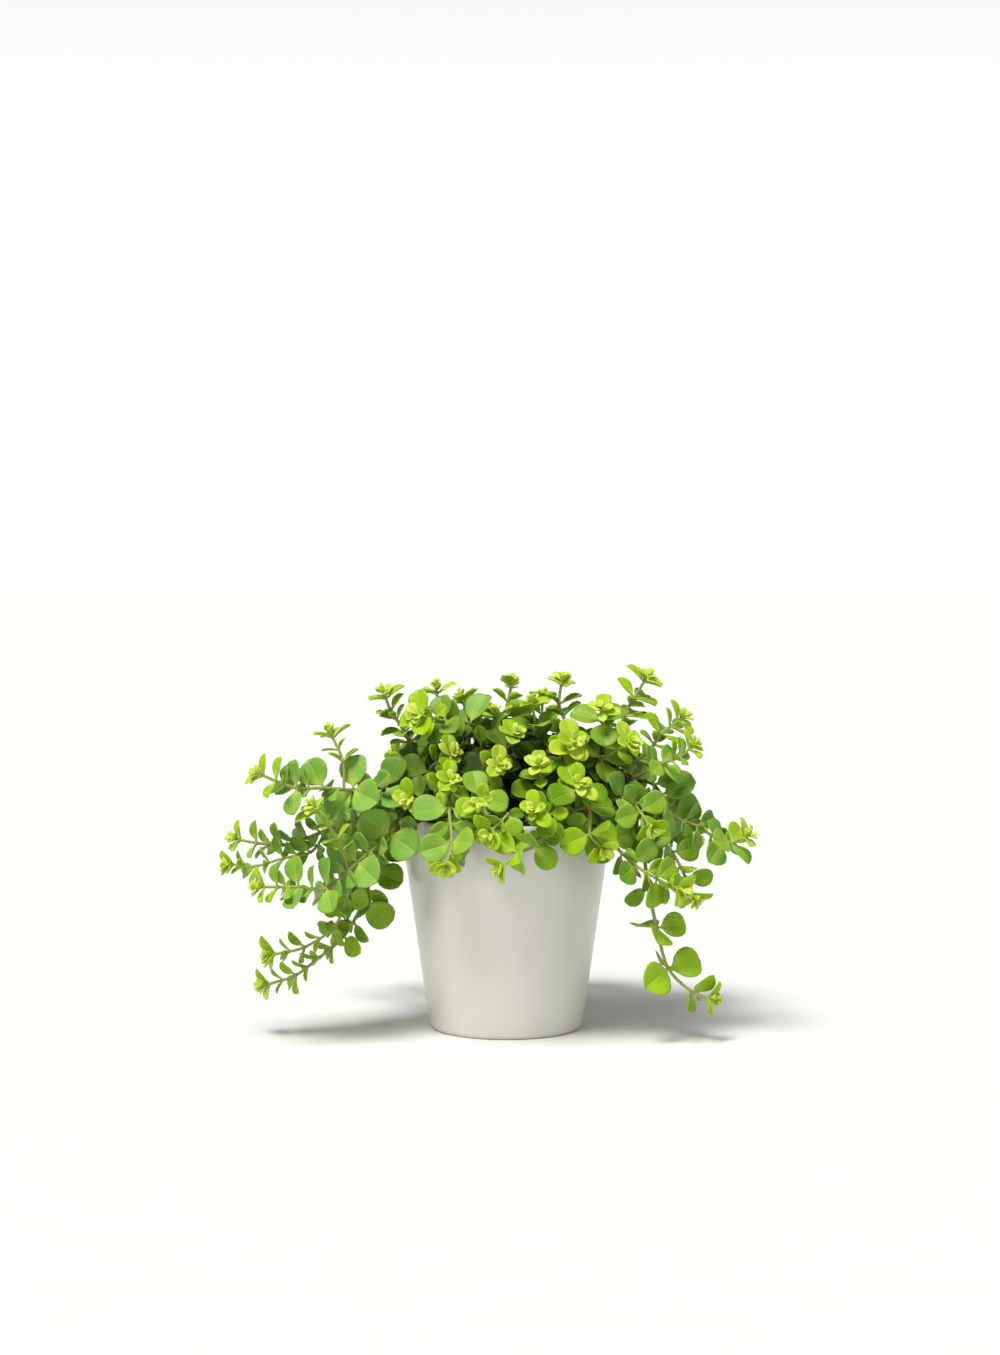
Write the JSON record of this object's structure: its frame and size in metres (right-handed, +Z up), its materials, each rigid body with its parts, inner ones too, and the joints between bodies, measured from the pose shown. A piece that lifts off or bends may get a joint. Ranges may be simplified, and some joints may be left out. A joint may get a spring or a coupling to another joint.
{
  "type": "potted plant",
  "caption": "Trailing peperomia with round fleshy leaves in whorls along arching and hanging stems, in a plain round tapered ceramic pot filled with soil.",
  "frame": {"origin": "middle of the pot's flat underside, where it rests", "axes": "+Z up through the middle of the pot; -Y is the plant's front, as the picture shows it; +X is its right in that view"},
  "size_m": [0.291, 0.218, 0.2036],
  "materials": {
    "pot": "smooth satin off-white glaze",
    "soil": "matt crumbly dark potting soil",
    "foliage": "soft satin fleshy leaf, pale grey-green to yellow-green"
  },
  "bodies": {
    "root": {"pot": "pot", "soil": "soil", "stem_left_high": "foliage", "stem_left_mid": "foliage", "stem_left_fork": "foliage", "stem_left_low": "foliage", "stem_rise_left": "foliage", "stem_top_left": "foliage", "stem_rise_mid_left": "foliage", "stem_top_pale": "foliage", "stem_dark_stalk": "foliage", "stem_star_mid": "foliage", "stem_rosette_right": "foliage", "stem_star_right": "foliage", "stem_shoulder_tip": "foliage", "stem_shoulder_low": "foliage", "stem_front_left_rosette": "foliage", "stem_front_cup": "foliage", "stem_front_left_tip": "foliage", "stem_front_mid": "foliage", "stem_front_bright": "foliage", "stem_front_drape_mid": "foliage", "stem_front_drape_left": "foliage", "stem_front_wisp": "foliage", "stem_front_drape_low": "foliage", "stem_crown_right": "foliage", "stem_right_front": "foliage", "stem_right_reach": "foliage", "stem_right_trail": "foliage", "stem_right_cluster": "foliage", "stem_front_shoulder_left": "foliage", "stem_inner_left": "foliage", "stem_tan_stalk": "foliage", "stem_crown_left": "foliage", "stem_crown_mid_right": "foliage", "stem_front_right_drape": "foliage", "stem_right_shoulder": "foliage", "stem_back_low_1": "foliage", "stem_back_low_2": "foliage", "stem_back_low_3": "foliage", "stem_back_low_4": "foliage", "stem_back_low_5": "foliage", "stem_back_low_6": "foliage", "stem_back_low_7": "foliage", "stem_back_mid_1": "foliage", "stem_back_mid_2": "foliage", "stem_back_mid_3": "foliage", "stem_back_mid_4": "foliage", "stem_back_mid_5": "foliage", "stem_back_high_1": "foliage", "stem_back_high_2": "foliage", "stem_back_high_3": "foliage"}
  },
  "joints": []
}
